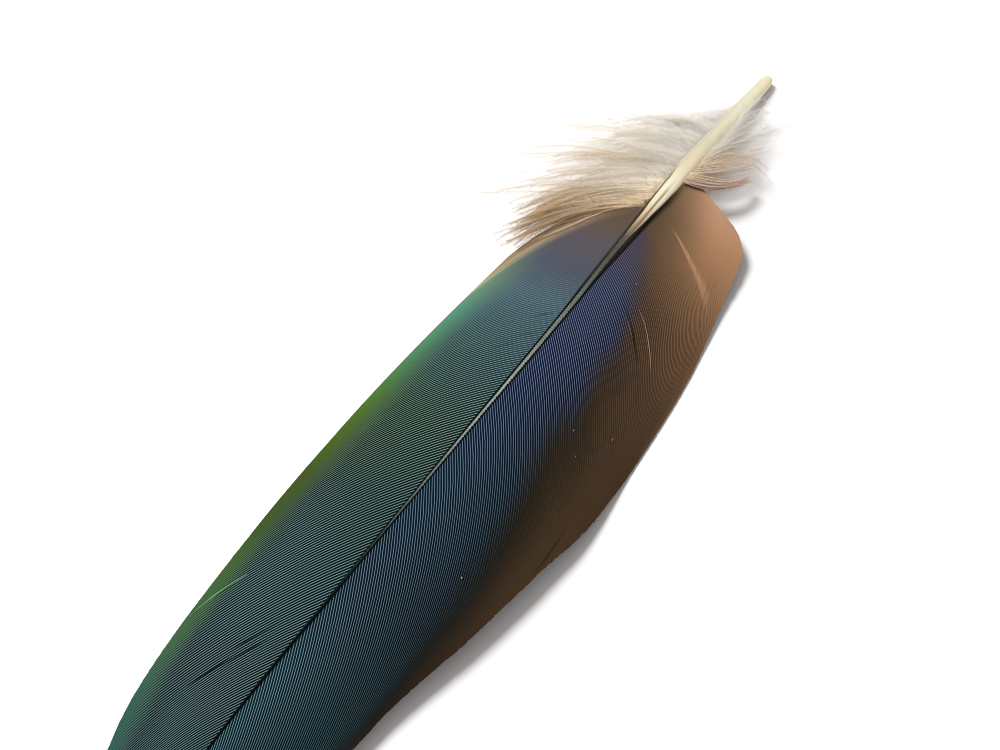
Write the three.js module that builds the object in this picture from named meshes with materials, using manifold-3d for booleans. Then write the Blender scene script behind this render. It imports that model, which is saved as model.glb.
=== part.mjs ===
// A macaw's wing feather, lying on a table with its upper side up.
// Millimetres. +Y runs from the quill's end to the feather's tip, +X is the outer vane's side, +Z is up.
import * as THREE from "three";
import { mergeVertices } from "three/addons/utils/BufferGeometryUtils.js";
import Module from "manifold-3d";

const wasm = await Module();
wasm.setup();

// Driving dimensions. "along" is measured from the quill's end, "across" from the shaft's line.
const LENGTH = 150;
const OUTER_WIDTH = 15.1;
const INNER_WIDTH = 18.8;
const QUILL_WIDTH = 2.9;
const ARCH = 5.4;

// The shaft: [along, value] knots of its width, of its middle's height and of its sideways sweep.
const SHAFT_END = 148.3;
const SHAFT_POINT = 0.3;
const SHAFT_STEPS = 38;
const SHAFT_STEP_GROWTH = 1.5;
const SHAFT_SIDES = 12;
const SHAFT_WIDTHS = [
  [0, 0.42 * QUILL_WIDTH], [1.2, 0.64 * QUILL_WIDTH], [4, 0.71 * QUILL_WIDTH], [12, 0.79 * QUILL_WIDTH],
  [18, 0.87 * QUILL_WIDTH], [26, QUILL_WIDTH], [32, 2.72], [38, 2.4], [49, 1.9], [64, 1.55], [82, 1.25],
  [95, 0.82], [104, 0.67], [112, 0.58], [126, 0.46], [SHAFT_END, 0.25],
];
const SHAFT_HEIGHTS = [
  [0, 0.88], [4, 1.1], [25, 0.63 * ARCH], [50, 0.9 * ARCH], [75, ARCH], [100, 0.9 * ARCH],
  [125, 0.57 * ARCH], [140, 0.28 * ARCH], [LENGTH, 0.08 * ARCH],
];
const SHAFT_SWEEP = [
  [0, 1.1], [4, 1.1], [9, 1.2], [14, 1.08], [20, 0.92], [25, 0.81], [28, 0.66], [32, 0.56], [38, 0.45],
  [52, 0.15], [62, -0.15], [75, -0.3], [100, -0.3], [110, -0.2], [118, 0], [128, 0.05], [140, -0.3],
  [LENGTH, -0.8],
];

// The vanes. A margin is drawn by [along, across] points. Each barb runs from the shaft to the margin:
// rootsBySpan pairs a share of the margin's length with the place on the shaft where that barb starts,
// and rootAngles gives the barb's angle to the shaft there, in degrees. lift is the margin's height, and what
// would lie under the table is pressed flat on it. EVEN_DROP is the share of a barb's drop that is a
// straight slope, and the rest steepens towards the margin, where the steps are also closer together.
const BARB_LINES = 64;
const BARB_STEPS = 8;
const STEP_CROWDING = 1.5;
const EVEN_DROP = 0.45;
const ROOT_GAP = 0.2;
const ROOT_THICKNESS = 0.8;
const MARGIN_THICKNESS = 0.5;
const LOCK_RIDGE = 0.16;
const LOCK_TOOTH = 0.3;
const ROOT_RISE = 0.1;
const OUTER_VANE = {
  side: 1,
  margin: [
    [56, 12.6], [72, 14.2], [88, OUTER_WIDTH], [102, 14.9], [118, 13.6], [130.5, 11.6], [138.5, 8.8],
    [144.5, 5.6], [148.5, 2.2], [LENGTH, -0.5],
  ],
  rootsBySpan: [[0, 36.5], [0.37, 70], [0.66, 96], [0.82, 112], [0.92, 127], [1, 147.5]],
  rootAngles: [
    [36.5, 53], [60, 50], [70, 46.5], [83, 40.5], [96, 34.5], [112, 30.5], [127, 28], [147.5, 12],
  ],
  lift: [[56, 3.2], [72, 1.8], [88, 0.4], [98, -0.3], [110, -0.3], [122, 0.3], [138, 0.4], [LENGTH, 0]],
};
const INNER_VANE = {
  side: -1,
  margin: [
    [32.3, -10.3], [33.6, -11.9], [35.4, -13.2], [38.5, -14.1], [44, -15.1], [58, -17.5], [73, -18.6],
    [84.5, -INNER_WIDTH], [91.5, -17.8], [98, -16.8], [104, -15.8], [110, -14.5], [116, -13.3], [122, -12.6],
    [130, -11.3], [138, -9.4], [144.5, -6.8], [148.6, -3.8], [149.8, -1.4],
  ],
  rootsBySpan: [
    [0, 28.5], [0.257, 41], [0.414, 56], [0.555, 72], [0.702, 86], [0.862, 107], [0.961, 126], [1, 147.5],
  ],
  rootAngles: [
    [28.5, 66], [34, 66.5], [41, 69], [50, 61], [56, 52], [64, 45], [72, 41.5], [86, 39], [96, 34.5],
    [107, 30], [126, 25], [147.5, 12],
  ],
  lift: [
    [32.3, 2.3], [46, 0.7], [60, -0.3], [72, -0.2], [82, 1.1], [90, 2.1], [98, 2.4], [108, 2.2],
    [120, 1.7], [130, 1.2], [140, 0.6], [LENGTH, 0],
  ],
};

// The down: each lock starts beside the shaft and ends in a point. The values run evenly from the lock
// nearest the quill's end to the last one: where it starts, its length, its angle to the shaft and how much
// it turns on its way, in degrees, and how high its tip lies. Each lock strays a little from that.
const DOWN_STEPS = 7;
const DOWN_SIDES = 6;
const LOCK_WIDTH = 2.4;
const LOCK_FLATNESS = 0.6;
const LOCK_FULLNESS = 0.6;
const LOCK_BELLY = 0.55;
const ROOT_INSET = 0.3;
const STRAY_ANGLE = { most: 6, beat: 5.1 };
const STRAY_LENGTH = { most: 0.14, beat: 3.7 };
const STRAY_HEIGHT = { most: 0.9, beat: 2.4 };
const OUTER_DOWN = {
  side: 1,
  count: 12,
  start: [17, 34.5],
  length: [12.5, 24],
  angle: [78, 49],
  turn: [-22, -26],
  tipHeight: [2.2, 4],
};
const INNER_DOWN = {
  side: -1,
  count: 8,
  start: [17, 27.6],
  length: [10.5, 9.8],
  angle: [164, 104],
  turn: [-6, 80],
  tipHeight: [1.8, 3],
};

// A smooth curve through [position, value] knots, its slope at a knot taken from the knots beside it.
function through(knots) {
  const slopes = knots.map((knot, i) => {
    const before = knots[Math.max(i - 1, 0)];
    const after = knots[Math.min(i + 1, knots.length - 1)];
    return (after[1] - before[1]) / (after[0] - before[0]);
  });
  return (position) => {
    const p = THREE.MathUtils.clamp(position, knots[0][0], knots.at(-1)[0]);
    const i = Math.max(0, knots.findLastIndex((knot, k) => k < knots.length - 1 && knot[0] <= p));
    const span = knots[i + 1][0] - knots[i][0];
    const t = (p - knots[i][0]) / span;
    const [a, b] = [knots[i][1], knots[i + 1][1]];
    const bend = (1 - t) * (slopes[i] * span - (b - a)) + t * ((b - a) - slopes[i + 1] * span);
    return (1 - t) * a + t * b + t * (1 - t) * bend;
  };
}

const shaftWidth = through(SHAFT_WIDTHS);
const shaftHeight = through(SHAFT_HEIGHTS);
const shaftSweep = through(SHAFT_SWEEP);

function place(along, across, height) {
  return new THREE.Vector3(across, along - LENGTH / 2, height);
}

function fromEndToEnd([first, last], share) {
  return THREE.MathUtils.lerp(first, last, share);
}

// A closed body through rings of points, each end drawn together in one point.
function loft(rings, start, end) {
  const sides = rings[0].length;
  const points = [start, ...rings.flat(), end];
  const index = [];
  const at = (ring, side) => 1 + ring * sides + (side % sides);
  for (let side = 0; side < sides; side += 1) {
    index.push(0, at(0, side), at(0, side + 1));
    index.push(points.length - 1, at(rings.length - 1, side + 1), at(rings.length - 1, side));
    for (let ring = 0; ring < rings.length - 1; ring += 1) {
      index.push(at(ring, side), at(ring + 1, side), at(ring + 1, side + 1));
      index.push(at(ring, side), at(ring + 1, side + 1), at(ring, side + 1));
    }
  }
  const geometry = new THREE.BufferGeometry().setFromPoints(points);
  geometry.setIndex(index);
  return geometry;
}

// A ring of points round a centre, wide across and high upwards, in the plane square to a level direction.
function ringAt(centre, direction, width, height, sides) {
  const level = new THREE.Vector3(direction.y, -direction.x, 0).normalize();
  return Array.from({ length: sides }, (_, k) => {
    const turn = ((k + 0.5) / sides) * 2 * Math.PI;
    const point = centre.clone().addScaledVector(level, (width / 2) * Math.cos(turn));
    point.z += (height / 2) * Math.sin(turn);
    return point;
  });
}

function quillGeometry() {
  const rings = [];
  for (let i = 1; i <= SHAFT_STEPS; i += 1) {
    const along = SHAFT_END * (i / SHAFT_STEPS) ** SHAFT_STEP_GROWTH;
    const centre = place(along, shaftSweep(along), shaftHeight(along));
    const width = shaftWidth(along);
    rings.push(ringAt(centre, new THREE.Vector3(0, 1, 0), width, width, SHAFT_SIDES));
  }
  const start = place(0, shaftSweep(0), shaftHeight(0));
  const end = place(SHAFT_END + SHAFT_POINT, shaftSweep(SHAFT_END), shaftHeight(SHAFT_END));
  return loft(rings, start, end);
}

// The path of one barb, from the shaft to the margin, as a flat curve of [along, across] points.
function barbPath(vane, marginCurve, span) {
  const root = through(vane.rootsBySpan)(span);
  const angle = THREE.MathUtils.degToRad(through(vane.rootAngles)(root));
  const beside = shaftSweep(root) + vane.side * (shaftWidth(root) / 2 + ROOT_GAP);
  const from = new THREE.Vector2(root, beside);
  const to = marginCurve.getPointAt(span);
  const heading = new THREE.Vector2(Math.cos(angle), vane.side * Math.sin(angle));
  const bend = from.clone().addScaledVector(heading, from.distanceTo(to) / 2);
  return new THREE.QuadraticBezierCurve(from, bend, to);
}

// The underside's height on a barb: it leaves the shaft almost level and drops towards the margin.
function underside(vane, path, share) {
  const root = path.v0.x;
  const high = shaftHeight(root) + ROOT_RISE * shaftWidth(root) - ROOT_THICKNESS / 2;
  const low = through(vane.lift)(path.v2.x);
  const dropped = EVEN_DROP * share + (1 - EVEN_DROP) * share ** 2;
  return Math.max(0, high + (low - high) * dropped);
}

// One vane: a curved blade whose upper side is ribbed along the barbs, every second line standing proud.
function vaneGeometry(vane) {
  const marginPoints = vane.margin.map(([along, across]) => new THREE.Vector2(along, across));
  const marginCurve = new THREE.SplineCurve(marginPoints);
  const upper = [];
  const lower = [];
  for (let line = 0; line <= BARB_LINES; line += 1) {
    const path = barbPath(vane, marginCurve, line / BARB_LINES);
    const proud = line % 2;
    for (let step = 0; step <= BARB_STEPS; step += 1) {
      const share = 1 - (1 - step / BARB_STEPS) ** STEP_CROWDING;
      const flat = path.getPoint(share);
      const tooth = proud && step === BARB_STEPS ? LOCK_TOOTH : 0;
      const [along, across] = [flat.x + tooth / 2, flat.y + vane.side * tooth];
      const height = underside(vane, path, share);
      const thickness = fromEndToEnd([ROOT_THICKNESS, MARGIN_THICKNESS], share) + proud * LOCK_RIDGE;
      upper.push(place(along, across, height + thickness));
      lower.push(place(along, across, height));
    }
  }
  return blade(upper, lower, BARB_LINES, BARB_STEPS, vane.side > 0);
}

// A closed blade between two grids of points, which have lines + 1 rows of steps + 1 points each.
function blade(upper, lower, lines, steps, turned) {
  const index = [];
  const at = (line, step) => line * (steps + 1) + step;
  const under = upper.length;
  const quad = (a, b, c, d) => index.push(...(turned ? [a, c, b, a, d, c] : [a, b, c, a, c, d]));
  for (let line = 0; line < lines; line += 1) {
    for (let step = 0; step < steps; step += 1) {
      const corners = [at(line, step), at(line + 1, step), at(line + 1, step + 1), at(line, step + 1)];
      const [a, b, c, d] = corners.map((corner) => corner + under);
      quad(...corners);
      quad(a, d, c, b);
    }
  }
  const count = (length) => Array.from({ length }, (_, k) => k);
  const rim = [
    ...count(lines).map((line) => at(line, 0)),
    ...count(steps).map((step) => at(lines, step)),
    ...count(lines).map((line) => at(lines - line, steps)),
    ...count(steps).map((step) => at(0, steps - step)),
  ];
  rim.forEach((here, i) => {
    const next = rim[(i + 1) % rim.length];
    quad(next, here, here + under, next + under);
  });
  const geometry = new THREE.BufferGeometry().setFromPoints([...upper, ...lower]);
  geometry.setIndex(index);
  return geometry;
}

function stray({ most, beat }, lock) {
  return most * Math.sin(beat * lock);
}

// One lock of down: a flattened, pointed body along a path that keeps turning.
function lockGeometry(down, lock) {
  const share = lock / (down.count - 1);
  const begin = fromEndToEnd(down.start, share);
  const length = fromEndToEnd(down.length, share) * (1 + stray(STRAY_LENGTH, lock));
  const turn = fromEndToEnd(down.turn, share) / (DOWN_STEPS + 1);
  const tip = fromEndToEnd(down.tipHeight, share) + stray(STRAY_HEIGHT, lock);
  let heading = fromEndToEnd(down.angle, share) + stray(STRAY_ANGLE, lock);
  const beside = shaftSweep(begin) + down.side * (shaftWidth(begin) / 2 + ROOT_GAP + ROOT_INSET);
  const flat = new THREE.Vector2(begin, beside);
  const start = place(flat.x, flat.y, shaftHeight(begin));
  const rings = [];
  for (let step = 1; step <= DOWN_STEPS; step += 1) {
    const angle = THREE.MathUtils.degToRad(heading);
    const part = step / (DOWN_STEPS + 1);
    const direction = new THREE.Vector3(down.side * Math.sin(angle), Math.cos(angle), 0);
    flat.x += (direction.y * length) / (DOWN_STEPS + 1);
    flat.y += (direction.x * length) / (DOWN_STEPS + 1);
    heading += turn;
    const centre = place(flat.x, flat.y, fromEndToEnd([shaftHeight(begin), tip], part));
    const width = LOCK_WIDTH * Math.sin(Math.PI * part ** LOCK_BELLY) ** LOCK_FULLNESS;
    rings.push(ringAt(centre, direction, width, width * LOCK_FLATNESS, DOWN_SIDES));
  }
  const angle = THREE.MathUtils.degToRad(heading);
  const last = length / (DOWN_STEPS + 1);
  const end = place(flat.x + last * Math.cos(angle), flat.y + last * down.side * Math.sin(angle), tip);
  return loft(rings, start, end);
}

function toSolid(geometry) {
  const merged = mergeVertices(geometry);
  return new wasm.Manifold(new wasm.Mesh({
    numProp: 3,
    vertProperties: new Float32Array(merged.attributes.position.array),
    triVerts: new Uint32Array(merged.index.array),
  }));
}

function fromSolid(solid) {
  const mesh = solid.getMesh();
  const geometry = new THREE.BufferGeometry();
  geometry.setAttribute("position", new THREE.BufferAttribute(new Float32Array(mesh.vertProperties), 3));
  geometry.setIndex(new THREE.BufferAttribute(new Uint32Array(mesh.triVerts), 1));
  return geometry;
}

function downGeometry(down) {
  const locks = Array.from({ length: down.count }, (_, lock) => toSolid(lockGeometry(down, lock)));
  return fromSolid(locks.reduce((joined, lock) => joined.add(lock)));
}

function piece(name, geometry, color, roughness) {
  geometry.computeVertexNormals();
  const mesh = new THREE.Mesh(geometry, new THREE.MeshStandardMaterial({ color, roughness, metalness: 0 }));
  mesh.name = name;
  return mesh;
}

const feather = new THREE.Group();
feather.add(
  piece("quill", quillGeometry(), 0xd8d0a4, 0.35),
  piece("outer_vane", vaneGeometry(OUTER_VANE), 0x2f6a6e, 0.55),
  piece("inner_vane", vaneGeometry(INNER_VANE), 0x2b3a63, 0.55),
  piece("outer_down", downGeometry(OUTER_DOWN), 0xb3a08c, 0.9),
  piece("inner_down", downGeometry(INNER_DOWN), 0xc0a898, 0.9),
);

// The origin is under the middle of the feather, on the table.
const box = new THREE.Box3().setFromObject(feather);
const middle = box.getCenter(new THREE.Vector3());
feather.position.set(-middle.x, -middle.y, -box.min.z);

const part = new THREE.Group();
part.add(feather);

export default part;
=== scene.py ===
# %% [markdown]
# A macaw's wing feather, lying on a white table with its upper side up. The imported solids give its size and
# place: a quill, two vanes and two tufts of down. Here each of them gets what the real feather has. The
# quill becomes horn, each vane becomes a row of more than two hundred barbs, and each tuft becomes loose
# down.

# %% Load the frame
import math

import bpy
import numpy as np
from mathutils import Matrix, Vector


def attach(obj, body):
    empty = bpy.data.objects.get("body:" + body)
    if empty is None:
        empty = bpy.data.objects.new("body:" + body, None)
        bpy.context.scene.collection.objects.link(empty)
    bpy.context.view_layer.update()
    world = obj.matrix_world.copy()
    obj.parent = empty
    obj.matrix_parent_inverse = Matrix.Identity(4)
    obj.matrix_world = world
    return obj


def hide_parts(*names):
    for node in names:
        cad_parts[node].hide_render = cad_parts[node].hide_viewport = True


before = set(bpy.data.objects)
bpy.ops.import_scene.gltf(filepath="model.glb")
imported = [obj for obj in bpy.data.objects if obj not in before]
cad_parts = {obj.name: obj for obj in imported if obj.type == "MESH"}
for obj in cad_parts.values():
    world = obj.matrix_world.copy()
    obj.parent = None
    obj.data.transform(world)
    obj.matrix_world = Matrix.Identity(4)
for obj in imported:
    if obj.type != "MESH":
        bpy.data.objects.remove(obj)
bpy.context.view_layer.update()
MM = 0.001
print("solids:", sorted(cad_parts))

# %% [markdown]
# Everything on a feather is measured from its shaft. "along" runs from the quill's end to the tip, "across"
# is the distance from a straight line under the shaft, towards the outer vane when positive, and "height"
# is above the table, all in millimetres. The very end of the quill, found in its solid, ties these to the
# frame. The shaft's taper, arch and slight bend are smooth curves through a few measured places.


# %% The shaft's line
def through(knots):
    """A smooth curve through (position, value) knots, for one position or an array of them."""
    at, value = np.array(knots, float).T
    before = np.maximum(np.arange(len(at)) - 1, 0)
    after = np.minimum(np.arange(len(at)) + 1, len(at) - 1)
    slope = (value[after] - value[before]) / (at[after] - at[before])

    def curve(position):
        p = np.clip(np.asarray(position, float), at[0], at[-1])
        i = np.clip(np.searchsorted(at, p, "right") - 1, 0, len(at) - 2)
        span = at[i + 1] - at[i]
        t = (p - at[i]) / span
        rise = value[i + 1] - value[i]
        bend = (1 - t) * (slope[i] * span - rise) + t * (rise - slope[i + 1] * span)
        return value[i] + t * rise + t * (1 - t) * bend

    return curve


LENGTH = 150
QUILL_WIDTH = 2.9
ARCH = 5.4
SHAFT_END = 148.3
shaft_width = through([
    (0, 0.42 * QUILL_WIDTH), (1.2, 0.64 * QUILL_WIDTH), (4, 0.71 * QUILL_WIDTH), (12, 0.79 * QUILL_WIDTH),
    (18, 0.87 * QUILL_WIDTH), (26, QUILL_WIDTH), (32, 2.72), (38, 2.4), (49, 1.9), (64, 1.55), (82, 1.25),
    (95, 0.82), (104, 0.67), (112, 0.58), (126, 0.46), (SHAFT_END, 0.25),
])
shaft_height = through([
    (0, 0.88), (4, 1.1), (25, 0.63 * ARCH), (50, 0.9 * ARCH), (75, ARCH), (100, 0.9 * ARCH),
    (125, 0.57 * ARCH), (140, 0.28 * ARCH), (LENGTH, 0.08 * ARCH),
])
shaft_sweep = through([
    (0, 1.1), (4, 1.1), (9, 1.2), (14, 1.08), (20, 0.92), (25, 0.81), (28, 0.66), (32, 0.56), (38, 0.45),
    (52, 0.15), (62, -0.15), (75, -0.3), (100, -0.3), (110, -0.2), (118, 0), (128, 0.05), (140, -0.3),
    (LENGTH, -0.8),
])
quill_end = min((v.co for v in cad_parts["quill"].data.vertices), key=lambda co: co.y)


def place(along, across, height):
    """Points in the frame, in metres, from millimetres along, across and above the table."""
    x = quill_end.x + (np.asarray(across) - shaft_sweep(0)) * MM
    y = quill_end.y + np.asarray(along) * MM
    return np.stack(np.broadcast_arrays(x, y, np.asarray(height) * MM), axis=-1)


print("quill's end at", [round(c / MM, 2) for c in quill_end])

# %% [markdown]
# The camera looks down at the feather from beyond its tip, so the quill is far away at the top right and
# the tip leaves the picture at the bottom. Its place was found by matching the shaft and both margins to
# the picture. A pixel filter that is a little sharper than usual keeps the fine ridges of the vanes crisp.

# %% Camera
CAMERA_ALONG = 153.3
CAMERA_ACROSS = -53.3
CAMERA_HEIGHT = 140.5
CAMERA_TURN = -145.54
CAMERA_TILT = 54.47
CAMERA_ROLL = 0.41
FOCAL_LENGTH_PX = 1307.8
PICTURE_WIDTH_PX = 1000
PIXEL_FILTER = 0.9

camera_data = bpy.data.cameras.new("camera")
camera_data.sensor_width = 36
camera_data.lens = camera_data.sensor_width * FOCAL_LENGTH_PX / PICTURE_WIDTH_PX
camera_data.clip_start = 0.01
camera = bpy.data.objects.new("camera", camera_data)
eye = Matrix.Translation(place(CAMERA_ALONG, CAMERA_ACROSS, CAMERA_HEIGHT))
turn = Matrix.Rotation(math.radians(CAMERA_TURN), 4, "Z")
tilt = Matrix.Rotation(math.radians(90 - CAMERA_TILT), 4, "X")
roll = Matrix.Rotation(math.radians(CAMERA_ROLL), 4, "Z")
camera.matrix_world = eye @ turn @ tilt @ roll
bpy.context.scene.collection.objects.link(camera)
bpy.context.scene.camera = camera
bpy.context.scene.view_settings.view_transform = "Standard"
bpy.context.scene.cycles.filter_width = PIXEL_FILTER
print("lens", round(camera_data.lens, 1), "mm")

# %% [markdown]
# Finishes and swept shapes are both made with nodes here, and a node tree written out call by call gets
# long. Small helpers keep it readable: one starts a material, one sets values on a node, one adds a node
# with its settings, values and links, and one does a sum on two sockets or numbers.


# %% Helpers for nodes
def new_material(name):
    """An empty node material with a Principled shader: (material, nodes' tree, shader)."""
    material = bpy.data.materials.new(name)
    material.use_nodes = True
    return material, material.node_tree, material.node_tree.nodes["Principled BSDF"]


def set_inputs(node, values):
    """Values set straight on a node's own sockets."""
    for key, value in values.items():
        node.inputs[key].default_value = value


def add(tree, kind, inputs=(), **settings):
    """A node with settings, its inputs given by name or number as values or as sockets to link."""
    node = tree.nodes.new(kind)
    for key, value in settings.items():
        setattr(node, key, value)
    for key, value in dict(inputs).items():
        if isinstance(value, bpy.types.NodeSocket):
            tree.links.new(value, node.inputs[key])
        else:
            node.inputs[key].default_value = value
    return node


def calc(tree, operation, first, second=0.0):
    """A sum on one or two values, each a number or a socket."""
    return add(tree, "ShaderNodeMath", {0: first, 1: second}, operation=operation).outputs[0]


# %% [markdown]
# The table is a plain white floor. One large soft lamp stands to the upper left of the picture, so that
# shadows fall softly to the lower right, and a white sky fills them.

# %% Floor and light
FLOOR_SIZE = 6.0
floor_mesh = bpy.data.meshes.new("floor")
corners = [(-1, -1, 0), (1, -1, 0), (1, 1, 0), (-1, 1, 0)]
floor_mesh.from_pydata([[c * FLOOR_SIZE / 2 for c in corner] for corner in corners], [], [(0, 1, 2, 3)])
floor = bpy.data.objects.new("floor", floor_mesh)
bpy.context.scene.collection.objects.link(floor)
floor_material, _, shader = new_material("white table")
set_inputs(shader, {"Base Color": (0.86, 0.86, 0.855, 1), "Roughness": 0.8})
floor_mesh.materials.append(floor_material)

world = bpy.data.worlds.new("sky")
world.use_nodes = True
set_inputs(world.node_tree.nodes["Background"], {"Color": (1, 0.965, 0.955, 1), "Strength": 0.45})
bpy.context.scene.world = world

LAMP_FROM_LEFT = 0.62
LAMP_FROM_BEHIND = 0.48
LAMP_ABOVE = 1.1
LAMP_SIZE = 0.55
LAMP_POWER = 19
lamp_data = bpy.data.lights.new("lamp", "AREA")
lamp_data.shape = "DISK"
lamp_data.size = LAMP_SIZE
lamp_data.energy = LAMP_POWER
lamp = bpy.data.objects.new("lamp", lamp_data)
bpy.context.scene.collection.objects.link(lamp)
lamp.location = turn @ Vector((-LAMP_FROM_LEFT, LAMP_FROM_BEHIND, LAMP_ABOVE))
lamp.rotation_mode = "QUATERNION"
lamp.rotation_quaternion = (-lamp.location).to_track_quat("-Z", "Y")
print("lamp", round(lamp.location.length, 2), "m away")

# %% [markdown]
# Each barb leaves the shaft at an angle, steep near the quill and flat near the tip, and bends towards the
# tip as it nears the margin. The same outlines as in the solids say where the margin runs and how high it
# lies, and only the number of barbs is the real feather's here. Most lines are knots over the way along the
# feather. "overlap" and "relief" are knots over a barb's own length instead: how far barbs lie over each
# other, and how high their ridges stand.

# %% The vanes' lines
outer_lines = {
    "side": 1,
    "margin": [
        (56, 12.6), (72, 14.2), (88, 15.1), (102, 14.9), (118, 13.6), (130.5, 11.6), (138.5, 8.8),
        (144.5, 5.6), (148.5, 2.2), (LENGTH, -0.74),
    ],
    "roots": [(0, 36.5), (0.37, 70), (0.66, 96), (0.82, 112), (0.92, 127), (1, 147.5)],
    "angles": [
        (36.5, 53), (60, 50), (70, 46.5), (83, 40.5), (96, 34.5), (112, 30.5), (127, 28), (147.5, 12),
    ],
    "lift": [
        (56, 3.2), (72, 1.8), (88, 0.4), (98, -0.3), (110, -0.3), (122, 0.3), (138, 0.4), (LENGTH, 0),
    ],
    "spacing": [
        (36.5, 0.46), (67, 0.475), (79, 0.54), (91, 0.585), (106, 0.62), (121, 0.59), (135, 0.5),
        (147.5, 0.4),
    ],
    "start": [
        (28, 0.42), (44, 0.42), (54, 0.3), (62, 0.23), (92, 0.23), (102, 0.26), (112, 0.14), (150, 0.14),
    ],
    "rise": [(28, 0.26), (44, 0.26), (56, 0.42), (66, 0.45), (92, 0.45), (102, 0.42), (150, 0.42)],
    "crowding": 1,
    "overlap": [(0, 1), (0.7, 1), (1, 1.15)],
    "relief": [(0, 1), (0.7, 1), (1, 0.6)],
    "relief_by_root": [(36.5, 0.25), (44, 0.35), (52, 0.75), (60, 1), (148, 1)],
}
inner_lines = {
    "side": -1,
    "margin": [
        (32.3, -10.3), (33.6, -11.9), (35.4, -13.2), (38.5, -14.1), (44, -15.1), (58, -17.5), (73, -18.6),
        (84.5, -18.8), (91.5, -17.8), (98, -16.8), (104, -15.8), (110, -14.5), (116, -13.3), (122, -12.6),
        (130, -11.3), (138, -9.4), (144.5, -6.8), (148.6, -3.8), (149.8, -1.0),
    ],
    "roots": [
        (0, 28.5), (0.257, 41), (0.414, 56), (0.555, 72), (0.702, 86), (0.862, 107), (0.961, 126),
        (1, 147.5),
    ],
    "angles": [
        (28.5, 66), (34, 66.5), (41, 69), (50, 61), (56, 52), (64, 45), (72, 41.5), (86, 39), (96, 34.5),
        (107, 30), (126, 25), (147.5, 12),
    ],
    "lift": [
        (32.3, 2.3), (46, 0.7), (60, -0.3), (72, -0.2), (82, 1.1), (90, 2.1), (98, 2.4), (108, 2.2),
        (120, 1.7), (130, 1.2), (140, 0.6), (LENGTH, 0),
    ],
    "spacing": [
        (28.5, 0.2), (33, 0.25), (39, 0.33), (54, 0.355), (61, 0.396), (67, 0.437), (79, 0.48), (91, 0.52),
        (103, 0.585), (115, 0.633), (127, 0.65), (140, 0.5), (147.5, 0.4),
    ],
    "start": [(28, 0.42), (44, 0.42), (56, 0.29), (102, 0.29), (112, 0.42), (150, 0.45)],
    "rise": [(28, 0.26), (44, 0.26), (56, 0.42), (150, 0.42)],
    "crowding": 1.4,
    "overlap": [(0, 1), (0.4, 1.02), (0.7, 1.12), (1, 1.25)],
    "relief": [(0, 1), (0.3, 0.95), (0.55, 0.4), (1, 0.2)],
    "relief_by_root": [(28.5, 0.2), (38, 0.3), (46, 0.8), (52, 1), (148, 1)],
}
for name, lines in (("outer", outer_lines), ("inner", inner_lines)):
    print(name, "vane from", lines["roots"][0][1], "to", lines["roots"][-1][1], "mm along the shaft")

# %% [markdown]
# A barb's path is one bend from the shaft to its place on the margin. It drops from the shaft's height to
# the margin's, gently first, and where the drop would take it through the table it eases onto the table
# instead. Drawing hundreds of such paths as curves by hand is slow and uneven, so arrays lay all of them at
# once.

# %% Lay the barbs' paths
MARGIN_RISE = 0.25
EVEN_DROP = 0.45
SOFT_CONTACT = 0.25


def barb_roots(lines):
    """Where each barb leaves the shaft, in millimetres along: one after another, up to the last root."""
    spacing = through(lines["spacing"])
    first, last = lines["roots"][0][1], lines["roots"][-1][1]
    roots = [first]
    while roots[-1] + spacing(roots[-1]) < last:
        roots.append(roots[-1] + float(spacing(roots[-1])))
    return first + (np.array(roots) - first) * (last - first) / (roots[-1] - first)


def spans_of(lines, roots):
    """The share of the margin's length at which the barbs with these roots end."""
    spans = np.linspace(0, 1, 2000)
    return np.interp(roots, through(lines["roots"])(spans), spans)


def margin_curve(points, samples=4000):
    """A smooth curve through the margin's points, by the share of its length."""
    p = np.array(points, float)
    u = np.linspace(0, len(p) - 1, samples)
    i = np.minimum(u.astype(int), len(p) - 2)
    w = (u - i)[:, None]
    p0, p1, p2, p3 = p[np.maximum(i - 1, 0)], p[i], p[i + 1], p[np.minimum(i + 2, len(p) - 1)]
    v1, v2 = (p2 - p0) / 2, (p3 - p1) / 2
    line = (2 * p1 - 2 * p2 + v1 + v2) * w**3 + (3 * p2 - 3 * p1 - 2 * v1 - v2) * w**2 + v1 * w + p1
    run = np.r_[0, np.cumsum(np.linalg.norm(np.diff(line, axis=0), axis=1))]
    return lambda span: np.stack([np.interp(span * run[-1], run, row) for row in line.T], axis=-1)


def barb_paths(lines, root, shares):
    """Barbs by their roots, each a row of (along, across, height) points. Shares run from shaft to margin."""
    side = lines["side"]
    angle = np.radians(through(lines["angles"])(root))
    beside_shaft = side * through(lines["start"])(root) * shaft_width(root)
    start = np.stack([root, shaft_sweep(root) + beside_shaft], axis=-1)
    end = margin_curve(lines["margin"])(spans_of(lines, root))
    reach = np.linalg.norm(end - start, axis=1)[:, None] / 2
    bend = start + reach * np.stack([np.cos(angle), side * np.sin(angle)], axis=-1)
    t = shares[None, :, None]
    flat = (1 - t) ** 2 * start[:, None] + 2 * t * (1 - t) * bend[:, None] + t**2 * end[:, None]
    high = shaft_height(root) + through(lines["rise"])(root) * shaft_width(root)
    low = through(lines["lift"])(end[:, 0]) + MARGIN_RISE
    drop = EVEN_DROP * shares + (1 - EVEN_DROP) * shares**2
    middle = high[:, None] + (low - high)[:, None] * drop[None] - MARGIN_RISE
    middle = (middle + np.sqrt(middle**2 + SOFT_CONTACT**2)) / 2 + MARGIN_RISE
    return np.concatenate([flat, middle[..., None]], axis=-1)


print("barbs:", len(barb_roots(outer_lines)), "outer and", len(barb_roots(inner_lines)), "inner")

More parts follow.
